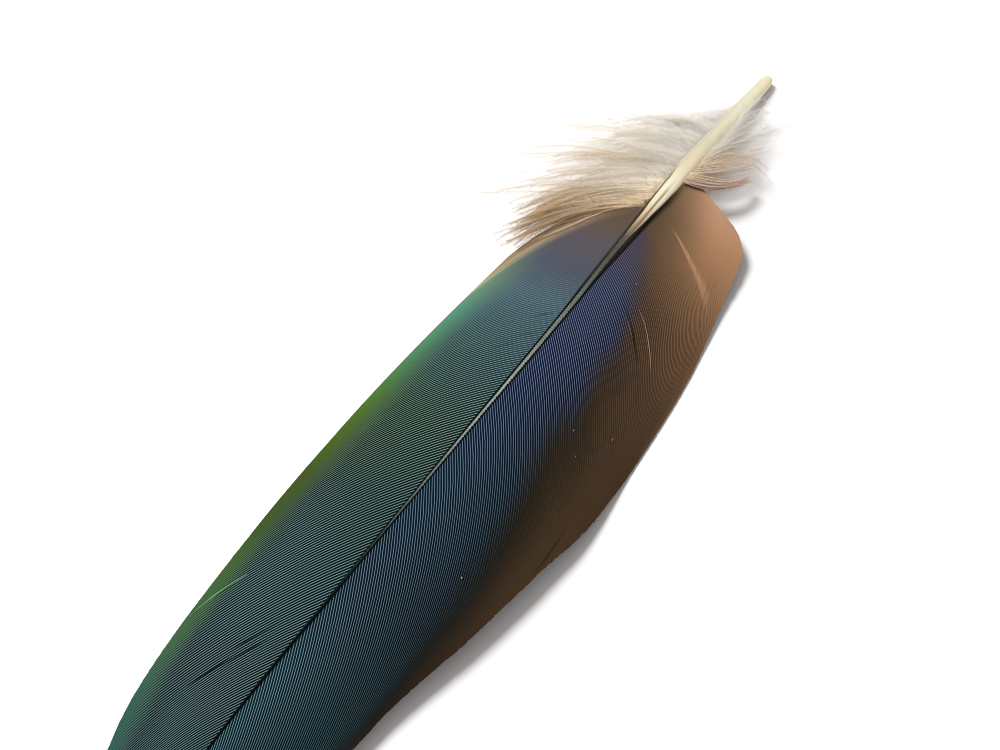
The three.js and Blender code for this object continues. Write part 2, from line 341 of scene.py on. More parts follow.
# %% [markdown]
# A barb is a thin ridged strip. A bump texture would leave the margin smooth, so the barbs are swept:
# Python lays their centre lines as bare edges with a width, a sideways direction and a few facts for the
# colours, and one Geometry Nodes tree sweeps a small ridged section along all of them. These helpers start
# a tree, turn the edges into curves, sweep a section along curves, and end a tree with real geometry and a
# material.


# %% Helpers for trees
def new_tree(name, *inputs):
    """An empty Geometry Nodes tree: (tree, its inputs' sockets by name, identifiers by name, output node)."""
    tree = bpy.data.node_groups.new(name, "GeometryNodeTree")
    identifiers = {}
    for label, kind in (("Lines", "Geometry"), *inputs, ("Material", "Material")):
        socket = tree.interface.new_socket(name=label, in_out="INPUT", socket_type="NodeSocket" + kind)
        identifiers[label] = socket.identifier
    tree.interface.new_socket(name="Geometry", in_out="OUTPUT", socket_type="NodeSocketGeometry")
    return tree, tree.nodes.new("NodeGroupInput").outputs, identifiers, tree.nodes.new("NodeGroupOutput")


def named(tree, name, kind="FLOAT"):
    """An attribute of the lines, by its name."""
    return add(tree, "GeometryNodeInputNamedAttribute", {"Name": name}, data_type=kind).outputs["Attribute"]


def scaled(tree, vector, *factors):
    """A vector times some numbers, all of them sockets."""
    for factor in factors:
        node = add(tree, "ShaderNodeVectorMath", {0: vector, "Scale": factor}, operation="SCALE")
        vector = node.outputs[0]
    return vector


def turned_lines(tree, given):
    """The edge lines as curves, turned to the sideways direction that is stored on them."""
    lines = add(tree, "GeometryNodeMeshToCurve", {"Mesh": given["Lines"]}).outputs[0]
    sideways = named(tree, "sideways", "FLOAT_VECTOR")
    return add(
        tree, "GeometryNodeSetCurveNormal", {"Curve": lines, "Normal": sideways}, mode="FREE",
    ).outputs[0]


def swept(tree, curves, section, width):
    """A section swept along curves at some width, with closed ends."""
    return add(tree, "GeometryNodeCurveToMesh", {
        "Curve": curves, "Profile Curve": section, "Scale": width, "Fill Caps": True,
    }).outputs[0]


def finish_tree(tree, given, geometry, out, sharp=False):
    """Ends a tree: smooth faces with some sharp edges, real geometry and the material."""
    smooth = add(tree, "GeometryNodeSetShadeSmooth", {"Geometry": geometry})
    smooth = add(
        tree, "GeometryNodeSetShadeSmooth",
        {"Geometry": smooth.outputs[0], "Selection": sharp, "Shade Smooth": False}, domain="EDGE",
    )
    real = add(tree, "GeometryNodeRealizeInstances", {"Geometry": smooth.outputs[0]}).outputs[0]
    painted = add(tree, "GeometryNodeSetMaterial", {"Geometry": real, "Material": given["Material"]})
    tree.links.new(painted.outputs[0], out.inputs[0])


# %% [markdown]
# The barb's section has six points: a crest, a shoulder on each side of it, an edge on each side and a low
# keel. The edges reach past half the spacing, so that neighbours overlap as real barbs do. Each point also
# says how much of a ridge it is, from 1 on the crest to -1 on the keel, which the colours use later.

# %% The tree that sweeps barbs
# The section's points, (sideways, upwards) in shares of the barb's width, and how much of a ridge each is.
BARB_SECTION = [
    (0, 0.1, 1), (-0.2, 0.07, 0.3), (-0.62, -0.02, 0), (0, -0.2, -1), (0.62, -0.02, 0), (0.2, 0.07, 0.3),
]
SHARP_FROM = 0.55


def ring_object(name, section):
    """A closed ring of edges, as the section that a tree sweeps."""
    mesh = bpy.data.meshes.new(name)
    count = len(section)
    mesh.from_pydata([(x, y, 0) for x, y, _ in section], [(i, (i + 1) % count) for i in range(count)], [])
    for label, values in zip(("aside", "rise", "ridge"), zip(*section)):
        mesh.attributes.new(label, "FLOAT", "POINT").data.foreach_set("value", values)
    return bpy.data.objects.new(name, mesh)


def barb_tree():
    """Sweeps a section along every edge line. Width and sideways direction come from the lines.

    Then each point slides along its barb, so that barbs end along the margin's line and not square, and the
    ridge sinks where the relief is less than 1.
    """
    tree, given, identifiers, out = new_tree("barb rows", ("Section", "Object"))
    ring = add(tree, "GeometryNodeObjectInfo", {"Object": given["Section"]}).outputs["Geometry"]
    section = add(tree, "GeometryNodeMeshToCurve", {"Mesh": ring}).outputs[0]
    width, aside = named(tree, "width"), named(tree, "aside")
    rows = swept(tree, turned_lines(tree, given), section, width)
    slide = scaled(tree, named(tree, "forward", "FLOAT_VECTOR"), named(tree, "shear"), aside, width)
    sunk = calc(tree, "SUBTRACT", named(tree, "relief"), 1.0)
    flatten = scaled(tree, named(tree, "upward", "FLOAT_VECTOR"), sunk, named(tree, "rise"), width)
    both = add(tree, "ShaderNodeVectorMath", {0: slide, 1: flatten}, operation="ADD").outputs[0]
    moved = add(tree, "GeometryNodeSetPosition", {"Geometry": rows, "Offset": both}).outputs[0]
    edges = calc(tree, "GREATER_THAN", calc(tree, "ABSOLUTE", aside), SHARP_FROM)
    finish_tree(tree, given, moved, out, edges)
    return tree, identifiers


rows_tree, rows_sockets = barb_tree()
barb_section = ring_object("barb section", BARB_SECTION)
print("barb tree has", len(rows_tree.nodes), "nodes")

# %% [markdown]
# A tree works on an object, so the paths become a mesh of bare edges that carries the facts as attributes.
# The modifier's inputs are set by their identifiers, the tree runs, and its result is kept as a plain mesh.
# The object stays at the origin, and its place is in its mesh.


# %% Run a tree on lines
def edge_lines(name, points, facts):
    """A mesh of bare edges, one line for each row of points, with one attribute for each fact."""
    rows, steps = points.shape[:2]
    first = (np.arange(rows)[:, None] * steps + np.arange(steps - 1)[None]).ravel()
    mesh = bpy.data.meshes.new(name)
    mesh.from_pydata(points.reshape(-1, 3), np.stack([first, first + 1], axis=-1), [])
    for label, values in facts.items():
        flat = np.asarray(values, np.float32).ravel()
        is_vector = len(flat) == rows * steps * 3
        attribute = mesh.attributes.new(label, "FLOAT_VECTOR" if is_vector else "FLOAT", "POINT")
        attribute.data.foreach_set("vector" if is_vector else "value", flat)
    thing = bpy.data.objects.new(name, mesh)
    bpy.context.scene.collection.objects.link(thing)
    return thing


def grow(thing, tree, sockets, **values):
    """Runs a tree on an object of edge lines and keeps the result as the object's own plain mesh."""
    modifier = thing.modifiers.new("grow", "NODES")
    modifier.node_group = tree
    for name, value in values.items():
        modifier[sockets[name]] = value
    bpy.context.view_layer.update()
    seen = thing.evaluated_get(bpy.context.evaluated_depsgraph_get())
    mesh = bpy.data.meshes.new_from_object(seen, depsgraph=bpy.context.evaluated_depsgraph_get())
    thing.modifiers.remove(modifier)
    thing.data = mesh
    print(thing.name, "has", sum(len(face.vertices) - 2 for face in mesh.polygons), "triangles")


# %% [markdown]
# A feather's colours are zones that melt into each other along its length and across each barb. Image
# textures are not used, so the zones are colour ramps and smooth curves over two things: the share of the
# feather's length, read from Object coordinates, and the facts that each barb carries.


# %% Helpers for colours
def srgb(r, g, b):
    """A colour named by screen values 0 to 255, as the linear colour that a shader takes."""
    shares = [c / 255 for c in (r, g, b)]
    return tuple(c / 12.92 if c <= 0.04 else ((c + 0.055) / 1.055) ** 2.4 for c in shares) + (1,)


def ramp(tree, value, stops):
    """A colour ramp over stops of (position, red, green, blue), the colours by their screen values."""
    node = add(tree, "ShaderNodeValToRGB", {0: value})
    elements = node.color_ramp.elements
    while len(elements) < len(stops):
        elements.new(0.5)
    for element, (position, *colour) in zip(elements, stops):
        element.position = position
        element.color = srgb(*colour)
    return node.outputs["Color"]


def between(tree, value, low, high):
    """0 below low, 1 above high, smooth between them. Low and high may be sockets."""
    node = add(tree, "ShaderNodeMapRange", {"Value": value, "From Min": low, "From Max": high})
    node.interpolation_type = "SMOOTHSTEP"
    return node.outputs["Result"]


def mixed(tree, factor, first, second, blend="MIX"):
    """Two colours mixed by a factor, each of them a colour or a socket."""
    node = add(tree, "ShaderNodeMix", {"Factor": factor}, data_type="RGBA", blend_type=blend)
    for socket, value in zip([s for s in node.inputs if s.type == "RGBA"], (first, second)):
        if isinstance(value, bpy.types.NodeSocket):
            tree.links.new(value, socket)
        else:
            socket.default_value = value
    return next(s for s in node.outputs if s.type == "RGBA")


def times(tree, colour, factor):
    """A colour made darker or lighter by another colour or a number."""
    return mixed(tree, 1.0, colour, factor, "MULTIPLY")


def curve_of(tree, value, knots):
    """A smooth float curve through knots, its positions given in millimetres along the feather."""
    node = add(tree, "ShaderNodeFloatCurve", {"Value": value})
    points = node.mapping.curves[0].points
    for position, height in knots[1:-1]:
        points.new(position / LENGTH, height)
    points[0].location = (knots[0][0] / LENGTH, knots[0][1])
    points[-1].location = (knots[-1][0] / LENGTH, knots[-1][1])
    node.mapping.use_clip = False
    node.mapping.update()
    return node.outputs[0]


def fact(tree, name):
    """A fact that the barbs carry, by its name."""
    return add(tree, "ShaderNodeAttribute", attribute_name=name).outputs["Fac"]


def along_share(tree):
    """The share of the feather's length, 0 at the quill's end and 1 at the tip."""
    where = add(tree, "ShaderNodeTexCoord").outputs["Object"]
    y = add(tree, "ShaderNodeSeparateXYZ", {0: where}).outputs["Y"]
    return add(tree, "ShaderNodeMapRange", {
        "Value": y, "From Min": quill_end.y, "From Max": quill_end.y + LENGTH * MM,
    }).outputs["Result"]


# %% [markdown]
# On a barb the bare ridge shines, and the barbules beside it are almost black. The shine is painted: the
# ridge's colour is the barb's own colour lightened and greyed as a painted highlight, and the groove's colour
# is the barbules' own dark with painted shade between the barbs. Both vanes share this finish: a ridge's
# colour over a groove's, dark where barbs leave the shaft, partly the barbs' dark bases and partly painted
# shade, painted shade in a slit and along a fold, pale on a stray barb, and a dull olive brown underneath.
# Only the zones of colour differ, so each vane gives its own.

# %% The vanes' finish
# These set painted light: the even level of the painted ridge highlight, where the painted shade beside the
# shaft ends, and the near black painted into slits.
EVEN_PAINTED_SHINE = 0.4
RIDGE_FROM, RIDGE_TO = 0.32, 0.74
KEEL_FROM, KEEL_TO = -0.1, -0.4
DARK_AND_SHADED_ROOT = 0.002
SLIT_SHADE_COLOUR = srgb(4, 10, 10)
UNDERSIDE_COLOUR = srgb(58, 52, 40)


def vane_material(name, zones, stray_colour, root_dark_and_shade_widths, root_dark_and_shade_from):
    """zones(tree, along, share, root, tint) gives (ridge's colour, groove's colour, contrast of the two)."""
    material, tree, shader = new_material(name)
    along, share, ridge = along_share(tree), fact(tree, "share"), fact(tree, "ridge")
    ridge_colour, groove_colour, contrast = zones(tree, along, share, fact(tree, "root"), fact(tree, "tint"))
    # Painted highlight: the mix leans to the ridge's lighter colour on the crest, standing in for its gloss.
    painted_shine = calc(tree, "SUBTRACT", between(tree, ridge, RIDGE_FROM, RIDGE_TO), EVEN_PAINTED_SHINE)
    painted_shine = calc(tree, "ADD", calc(tree, "MULTIPLY", painted_shine, contrast), EVEN_PAINTED_SHINE)
    top = mixed(tree, painted_shine, groove_colour, ridge_colour)
    # Dark beside the shaft: partly the barbs' dark bases, partly painted shade where the barbs meet the
    # shaft.
    root_dark_and_shade = between(tree, share, curve_of(tree, along, root_dark_and_shade_widths), DARK_AND_SHADED_ROOT)
    root_dark_and_shade_along = between(tree, along, *root_dark_and_shade_from)
    root_dark_and_shade_colour = ramp(tree, along, [(0.2, 40, 33, 24), (0.27, 26, 23, 18), (0.36, 6, 14, 14), (0.75, 0, 9, 10)])
    top = mixed(tree, calc(tree, "MULTIPLY", root_dark_and_shade, root_dark_and_shade_along), top, root_dark_and_shade_colour)
    mark = fact(tree, "mark")
    # Painted shade: slits and the fold line are painted near black.
    top = mixed(tree, between(tree, mark, 0, -1), top, SLIT_SHADE_COLOUR)
    top = mixed(tree, between(tree, mark, 0, 1), top, stray_colour)
    colour = mixed(tree, between(tree, ridge, KEEL_FROM, KEEL_TO), top, UNDERSIDE_COLOUR)
    tree.links.new(colour, shader.inputs["Base Color"])
    set_inputs(shader, {"Roughness": 0.6, "Specular IOR Level": 0.02})
    print(name, "finish has", len(tree.nodes), "nodes")
    return material


# %% [markdown]
# The outer vane is slate blue at its base and teal further on, and its last third turns green towards the
# margin, most of all in the middle of its length. The lowest barbs are still half down: they are tan, and
# have no shining ridge.

# %% The outer vane's colours
MARGIN_WANDER = 0.02
DIMMED = (0.72, 0.72, 0.72, 1)
DOWNY_SLANT = -7.0
DOWNY_ROOTS = (39.5, 34.5)


def outer_zones(tree, along, share, root, tint):
    """The outer vane's zones: ridge's colour, groove's colour, contrast of the two."""
    # The ridges' colours are lighter and greyer than the grooves': the vane's own colour with a painted
    # highlight on the glossy ridges. The grooves' dark is the barbules' own, with painted shade between
    # barbs.
    ridge = ramp(tree, along, [
        (0.28, 91, 78, 67), (0.32, 90, 85, 91), (0.36, 84, 90, 104), (0.4, 97, 116, 126),
        (0.5, 108, 130, 132), (0.56, 112, 133, 125), (0.65, 105, 127, 125), (0.76, 113, 138, 144),
        (0.84, 113, 136, 135), (1.0, 92, 127, 133),
    ])
    groove = ramp(tree, along, [
        (0.28, 87, 72, 59), (0.32, 77, 71, 74), (0.36, 64, 70, 80), (0.4, 54, 78, 84), (0.44, 38, 62, 66),
        (0.5, 16, 40, 40), (0.56, 3, 27, 18), (0.66, 0, 23, 20), (0.8, 0, 18, 21), (1.0, 0, 17, 19),
    ])
    green_ridge = ramp(tree, along, [
        (0.37, 112, 128, 104), (0.4, 108, 140, 108), (0.44, 90, 142, 118), (0.5, 79, 130, 90),
        (0.55, 83, 122, 54), (0.6, 82, 105, 38), (0.65, 76, 95, 38), (0.7, 82, 105, 54),
        (0.76, 84, 116, 68), (0.82, 84, 122, 86), (0.87, 76, 118, 102), (1.0, 62, 112, 114),
    ])
    green_groove = ramp(tree, along, [
        (0.37, 100, 116, 92), (0.4, 98, 128, 96), (0.44, 70, 124, 102), (0.5, 62, 112, 74),
        (0.55, 54, 92, 32), (0.6, 52, 76, 16), (0.65, 44, 64, 16), (0.7, 32, 56, 18), (0.76, 34, 62, 26),
        (0.82, 26, 58, 32), (0.87, 20, 52, 40), (1.0, 14, 46, 46),
    ])
    edge = curve_of(tree, along, [
        (0, 0.38), (56, 0.38), (66, 0.46), (74, 0.54), (90, 0.58), (98, 0.65), (106, 0.69), (114, 0.71),
        (122, 0.74), (150, 0.76),
    ])
    edge = calc(tree, "ADD", edge, calc(tree, "MULTIPLY", tint, MARGIN_WANDER))
    margin = between(tree, share, edge, 0.98)
    midway = calc(tree, "MULTIPLY", between(tree, share, 0.1, 0.6), curve_of(tree, along, [
        (0, 0), (62, 0), (72, 0.26), (84, 0.3), (94, 0.22), (102, 0), (150, 0),
    ]))
    dimmed = times(tree, ridge, DIMMED)
    ridge = mixed(tree, between(tree, share, 0.5, 0.9), ridge, dimmed)
    ridge = mixed(tree, calc(tree, "MAXIMUM", margin, midway), ridge, green_ridge)
    groove = mixed(tree, margin, groove, green_groove)

    slanted = calc(tree, "ADD", root, calc(tree, "MULTIPLY", share, DOWNY_SLANT))
    downy = between(tree, slanted, *DOWNY_ROOTS)
    tan = ramp(tree, share, [(0.0, 104, 84, 66), (0.35, 150, 126, 98), (1.0, 136, 120, 94)])
    pale_tan = ramp(tree, share, [(0.0, 112, 92, 72), (0.35, 192, 168, 132), (1.0, 178, 164, 134)])
    tan = mixed(tree, between(tree, tint, -1.6, 1.6), tan, pale_tan)

    fade_from = curve_of(tree, along, [(0, 0.6), (94, 0.6), (106, 0.72), (114, 0.75), (150, 0.75)])
    fading = calc(tree, "MULTIPLY", between(tree, share, fade_from, 0.97), curve_of(tree, along, [
        (0, 0.7), (82, 0.7), (92, 0.62), (106, 0.45), (114, 0.55), (150, 0.6),
    ]))
    contrast = calc(tree, "MULTIPLY", calc(tree, "SUBTRACT", 1.0, fading), curve_of(tree, along, [
        (0, 0.15), (42, 0.2), (48, 0.4), (54, 0.7), (62, 0.9), (70, 1), (150, 1),
    ]))
    return mixed(tree, downy, ridge, tan), mixed(tree, downy, groove, tan), contrast


outer_material = vane_material(
    "outer vane barbs", outer_zones, srgb(104, 168, 100),
    [(0, 0.018), (50, 0.014), (60, 0.007), (92, 0.007), (102, 0.012), (112, 0.007), (150, 0.007)],
    (0.27, 0.4),
)

# %% [markdown]
# The inner vane is blue beside the shaft and brown beyond. The line between them starts at the shaft near the
# quill and reaches the margin at the tip. The brown is flat and dull, lighter towards the margin and towards
# the quill. It still has stripes, but as a darker groove, the barbules' own dark with painted shade, beside a
# duller ridge, with no painted shine.

# %% The inner vane's colours
EDGE_WANDER = 0.012
RIDGE_LIFT = 0.75
DULL_RIDGE = 0.97
FADED_RIDGE = (0.4, 0.42, 0.38, 1)
DEEP_GROOVE = (0.45, 0.6, 0.58, 1)


def inner_zones(tree, along, share, root, tint):
    """The inner vane's zones: ridge's colour, groove's colour, contrast of the two."""
    # The blue ridges are lighter and greyer than the grooves: the blue with a painted highlight on the glossy
    # ridges.
    ridge = ramp(tree, along, [
        (0.3, 88, 84, 98), (0.36, 98, 106, 130), (0.43, 106, 115, 141), (0.5, 97, 111, 135),
        (0.6, 92, 113, 128), (0.7, 94, 114, 128), (0.8, 99, 128, 137), (1.0, 82, 122, 133),
    ])
    groove = ramp(tree, along, [
        (0.3, 60, 54, 66), (0.36, 32, 40, 64), (0.43, 12, 22, 50), (0.5, 2, 16, 42), (0.6, 0, 19, 36),
        (0.72, 0, 16, 30), (0.82, 1, 28, 36), (1.0, 0, 22, 26),
    ])
    near_brown = ramp(tree, along, [
        (0.2, 120, 95, 68), (0.25, 82, 68, 50), (0.3, 70, 58, 44), (0.36, 60, 48, 38), (0.43, 46, 38, 30),
        (0.52, 37, 31, 24), (0.6, 30, 28, 21), (0.75, 26, 27, 25), (1.0, 24, 28, 28),
    ])
    far_brown = ramp(tree, along, [
        (0.2, 194, 150, 120), (0.25, 166, 125, 92), (0.3, 142, 106, 76), (0.36, 112, 84, 60),
        (0.43, 88, 68, 50), (0.55, 74, 56, 38), (0.65, 64, 48, 33), (0.75, 42, 33, 24), (1.0, 36, 33, 28),
    ])
    edge = curve_of(tree, along, [
        (0, -0.4), (34, -0.3), (40, -0.08), (46, 0.12), (50, 0.17), (56, 0.28), (64, 0.35), (72, 0.385),
        (80, 0.44), (88, 0.54), (94, 0.61), (100, 0.69), (106, 0.75), (112, 0.8), (120, 0.86), (130, 0.93),
        (150, 1.0),
    ])
    middle = calc(tree, "ADD", edge, calc(tree, "MULTIPLY", tint, EDGE_WANDER))
    soft = curve_of(tree, along, [(0, 0.09), (54, 0.09), (70, 0.1), (90, 0.13), (150, 0.13)])
    brown = between(tree, share, calc(tree, "SUBTRACT", middle, soft), calc(tree, "ADD", middle, soft))
    far_from = curve_of(tree, along, [
        (0, -0.2), (50, -0.2), (64, -0.16), (76, -0.02), (90, 0.03), (150, 0.03),
    ])
    far = between(tree, share, calc(tree, "ADD", middle, far_from), 1.0)
    far = mixed(tree, between(tree, along, 0.36, 0.26), far, between(tree, share, -0.08, 0.65))
    dull = mixed(tree, far, near_brown, far_brown)

    # How much darker the brown groove is drawn than the ridge: the barbules' own dark and painted shade
    # between barbs.
    depth = calc(tree, "MULTIPLY", between(tree, share, 1.05, 0.7), curve_of(tree, along, [
        (0, 0.03), (36, 0.05), (44, 0.25), (50, 0.52), (56, 0.62), (64, 0.52), (72, 0.44), (82, 0.34),
        (100, 0.28), (150, 0.22),
    ]))
    kept = calc(tree, "SUBTRACT", 1.0, calc(tree, "MULTIPLY", depth, RIDGE_LIFT))
    dull = times(tree, dull, calc(tree, "DIVIDE", 1.0, kept))
    duller = times(tree, dull, calc(tree, "SUBTRACT", DULL_RIDGE, depth))
    faded = times(tree, ridge, FADED_RIDGE)
    faded = mixed(tree, between(tree, share, 0.08, 0.75), ridge, faded)
    deeper = times(tree, groove, DEEP_GROOVE)
    groove = mixed(tree, between(tree, share, 0.08, 0.32), groove, deeper)
    return mixed(tree, brown, faded, dull), mixed(tree, brown, groove, duller), 1.0


inner_material = vane_material(
    "inner vane barbs", inner_zones, srgb(196, 152, 118),
    [
        (0, 0.1), (34, 0.075), (38, 0.036), (42, 0.017), (46, 0.013), (54, 0.014), (100, 0.014),
        (112, 0.022), (150, 0.024),
    ],
    (0.18, 0.24),
)

# %% [markdown]
# Barbs come loose in places. Some have sunk and leave a slit, painted dark for the shade in it, some lie
# across the others as pale lines, a few broken bits are specks, and near the inner margin a fold's shade is
# painted as one dark line. Each of these has its place on this very feather, so they are listed one by one: a
# slit as (root, from, to, depth), a stray as (strength, widths, points), a speck as (along, across,
# strength), and a paler wedge as (strength, rows of (share, root, reach)). A strength below 0 is painted
# shade.

# %% The marks on this feather
SPECK_LENGTH, SPECK_SLANT = 0.1, 0.07
SPECK_WIDTHS = (0.08, 0.1, 0.08)
outer_slits = [
    (112.3, 0.36, 0.6, 0.85), (113.3, 0.22, 0.4, 0.85), (110.4, 0.24, 0.44, 0.75), (59.6, 0, 0.08, 0.6),
    (61, 0.04, 0.14, 0.5), (64.8, 0.05, 0.17, 0.5), (66.2, 0.1, 0.22, 0.5),
]
outer_strays = [
    (0.55, (0.04, 0.14, 0.2, 0.2, 0.1, 0.02), [
        (112.4, 10.4), (113.9, 11.1), (115.4, 11.76), (116.9, 12.3), (118.4, 12.72), (120, 13),
    ]),
]
inner_slits = [(51.2, 0.22, 0.5, 0.7)]
inner_strays = [
    (0.5, (0.03, 0.07, 0.1, 0.09, 0.03), [
        (54, -7.4), (55.6, -9.4), (57.4, -11), (59.2, -12.4), (60.8, -13.4),
    ]),
    (0.3, (0.03, 0.06, 0.05, 0.03), [(56.2, -6.6), (56.9, -7.6), (57.7, -8.4), (58.4, -9.1)]),
    # A fold near the inner margin: its shade painted as a dark line.
    (-0.45, (0.02, 0.05, 0.08, 0.06, 0.02), [
        (85.9, -16.8), (88.1, -17), (90, -17.1), (91.8, -17.1), (93.6, -17),
    ]),
]
inner_specks = [
    (50.75, -5.02, 0.6), (99.2, -11, 0.8), (75.06, -10.75, 0.55), (72.56, -14.95, 0.5),
    (77.84, -12.85, 0.35),
]
for along, across, strength in inner_specks:
    dot = [(along + step * SPECK_LENGTH, across - step * SPECK_SLANT) for step in (-1, 0, 1)]
    inner_strays.append((strength, SPECK_WIDTHS, dot))
inner_patches = [
    (0.55, [
        (0.1, 37.6, 0.12), (0.39, 37.2, 0.45), (0.56, 36.4, 0.75), (0.74, 35.5, 0.95), (0.92, 34.9, 1.1),
    ]),
]
for name, slits, strays in (("outer", outer_slits, outer_strays), ("inner", inner_slits, inner_strays)):
    print(name, "vane's marks:", len(slits), "slits,", len(strays), "strays and specks")

# %% [markdown]
# A mark is a number on each point of a barb, below 0 in a slit, where the finish paints shade, and above 0 on
# a paler patch, and the finish reads it. A slit also makes its barb narrower, so that a real gap opens. A
# stray barb is one more line: it takes its facts from the barbs under it and lies just above them, at a
# height that the nearest points of the vane decide.

# %% Lay marks and strays on barbs
SLIT_WIDTH = 0.6
SLIT_FADE = 0.06
PATCH_FADE = 0.3
PATCH_EDGE = 1.6
STRAY_RISE = 0.12
NEAREST = 0.01


def unit(vectors):
    """Vectors made one long."""
    return vectors / np.linalg.norm(vectors, axis=-1, keepdims=True)


def in_frame(directions):
    """Directions (along, across, up) as the frame's own (x, y, z)."""
    return directions[..., [1, 0, 2]]


def marks_on(roots, shares, slits, patches):
    """What is left of each barb's width, and its mark: below 0 in a slit, where shade is painted, above 0 on
    a paler patch.
    """
    mark = np.zeros((len(roots), len(shares)))
    for root, first, last, depth in slits:
        inside = np.clip(np.minimum(shares - first, last - shares) / SLIT_FADE, 0, 1)
        mark[np.abs(roots - root).argmin()] -= depth * inside
    narrowed = 1 + (SLIT_WIDTH - 1) * np.abs(mark)
    for strength, shape in patches:
        at, middle, reach = np.array(shape).T
        off = np.abs(roots[:, None] - np.interp(shares, at, middle)) / np.interp(shares, at, reach)
        fading = np.clip((at[-1] - shares) / PATCH_FADE, 0, 1) * (shares > at[0])
        mark += strength * np.clip(PATCH_EDGE * (1 - off), 0, 1) * fading
    return narrowed, mark


def stray_barb(surface, paths, facts, strength, widths, points):
    """A loose barb through (along, across) points, just above the surface of the barbs under it."""
    steps = paths.shape[1]
    t = np.linspace(0, 1, steps)
    knots = np.linspace(0, 1, len(points))
    flat = np.stack([through(list(zip(knots, row)))(t) for row in zip(*points)], axis=-1)
    nearest = ((paths[:, :, None, :2] - flat) ** 2).sum(-1).reshape(-1, steps).argmin(0)
    closeness = 1 / (((surface[:, None, :2] - flat) ** 2).sum(-1) + NEAREST) ** 3
    height = (closeness * surface[:, 2:]).sum(0) / closeness.sum(0) + STRAY_RISE
    path = np.concatenate([flat, height[:, None]], axis=-1)[None]
    row = {name: values.reshape(-1, *values.shape[2:])[nearest][None] for name, values in facts.items()}
    row["sideways"] = in_frame(unit(np.cross(np.gradient(path, axis=1), [0, 0, 1])))
    row["width"] = np.interp(t, np.linspace(0, 1, len(widths)), widths)[None] * MM
    row["mark"] = np.full((1, steps), strength)
    row["shear"] = np.zeros((1, steps))
    return path, row


# %% [markdown]
# Each vane is grown in one go. A barb is as wide as the way to its neighbours, so the row closes whatever
# its spacing, and only its end is a little uneven, as worn ends are. Neighbours share a tint, so the colour
# wanders slowly from barb to barb. All of it goes to the tree as one set of lines, which makes one mesh to
# a vane.

# %% Grow the vanes
BARB_STEPS = 12
ROOT_TUCK = 0.2
ONLY_AT_END = 5
HEIGHT_JITTER = 0.003
TINT_RUN = 9
OWN_TINT = 0.5
SURFACE_STEPS = 80
rng = np.random.default_rng(7)


def grow_vane(node, lines, material, raggedness, slits, strays, patches=()):
    """One vane: its barbs' paths, widths and facts, swept and standing for the solid vane."""
    side = lines["side"]
    roots = barb_roots(lines)
    barbs = len(roots)
    shares = np.r_[0, 1 - np.linspace(1, 0, BARB_STEPS) ** lines["crowding"]]
    paths = barb_paths(lines, roots, shares)
    paths[:, 0] -= unit(paths[:, 2] - paths[:, 1]) * (ROOT_TUCK * shaft_width(roots))[:, None]
    run = unit(np.gradient(paths, axis=1))
    gap = np.gradient(paths, axis=0)
    ahead = (gap * run).sum(-1, keepdims=True)
    gap -= ahead * run
    width = np.linalg.norm(gap, axis=-1)
    sideways = gap / width[..., None]
    paths += shares[None, :, None] ** ONLY_AT_END * run * rng.normal(0, raggedness, (barbs, 1, 1))
    paths[..., 2] += rng.normal(0, HEIGHT_JITTER, (barbs, 1))
    narrowed, mark = marks_on(roots, shares, slits, patches)
    shared_tint = rng.normal(0, 1, barbs + TINT_RUN - 1)
    tint = np.convolve(shared_tint, np.ones(TINT_RUN) / math.sqrt(TINT_RUN), "valid")
    tint = tint + rng.normal(0, OWN_TINT, barbs)
    facts = {
        "width": width * through(lines["overlap"])(shares) * narrowed * MM,
        "sideways": side * in_frame(sideways),
        "forward": in_frame(run),
        "upward": side * in_frame(np.cross(sideways, run)),
        "shear": side * (ahead[..., 0] / width),
        "relief": through(lines["relief_by_root"])(roots)[:, None] * through(lines["relief"])(shares)[None],
        "share": np.repeat(shares[None], barbs, axis=0),
        "root": np.repeat(roots[:, None], len(shares), axis=1),
        "tint": np.repeat(tint[:, None], len(shares), axis=1),
        "mark": mark,
    }
    surface = barb_paths(lines, roots, np.linspace(0, 1, SURFACE_STEPS)).reshape(-1, 3)
    loose = [stray_barb(surface, paths, facts, *stray) for stray in strays]
    paths = np.concatenate([paths, *[path for path, _ in loose]])
    for name in facts:
        facts[name] = np.concatenate([facts[name], *[row[name] for _, row in loose]])
    thing = edge_lines(node + "_barbs", place(*np.moveaxis(paths, -1, 0)), facts)
    grow(thing, rows_tree, rows_sockets, Section=barb_section, Material=material)
    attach(thing, "root")
    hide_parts(node)
    print(node, "has", barbs, "barbs,", round(float(width[:, 4].mean()), 3), "mm apart by the shaft and",
          round(float(width[:, -2].mean()), 3), "mm at the margin")


grow_vane("outer_vane", outer_lines, outer_material, 0.03, outer_slits, outer_strays)
grow_vane("inner_vane", inner_lines, inner_material, 0.08, inner_slits, inner_strays, inner_patches)

# %% [markdown]
# The quill is horn. Its bare end is round, and where the vanes begin it turns into the shaft, with a fine
# groove along its top for a short way. A curve with a bevel would give the round end, but not a groove that
# comes and goes, so the rings are laid point by point. Each point also keeps how far off the middle it is,
# for the finish.

# %% The quill's shape
QUILL_RINGS = 170
QUILL_SIDES = 28
RING_CROWDING = 1.2
GROOVE_DEPTH = 0.05
GROOVE_WIDTH = 0.09
GROOVE_MIDDLE = -0.09
POINT_LENGTH = 0.3
UNDERSIDE = 9
UNDERSIDE_FROM = -0.2
groove = through([(0, 0), (26, 0), (32, 0.5), (38, 1), (44, 0.8), (60, 0.3), (100, 0), (LENGTH, 0)])


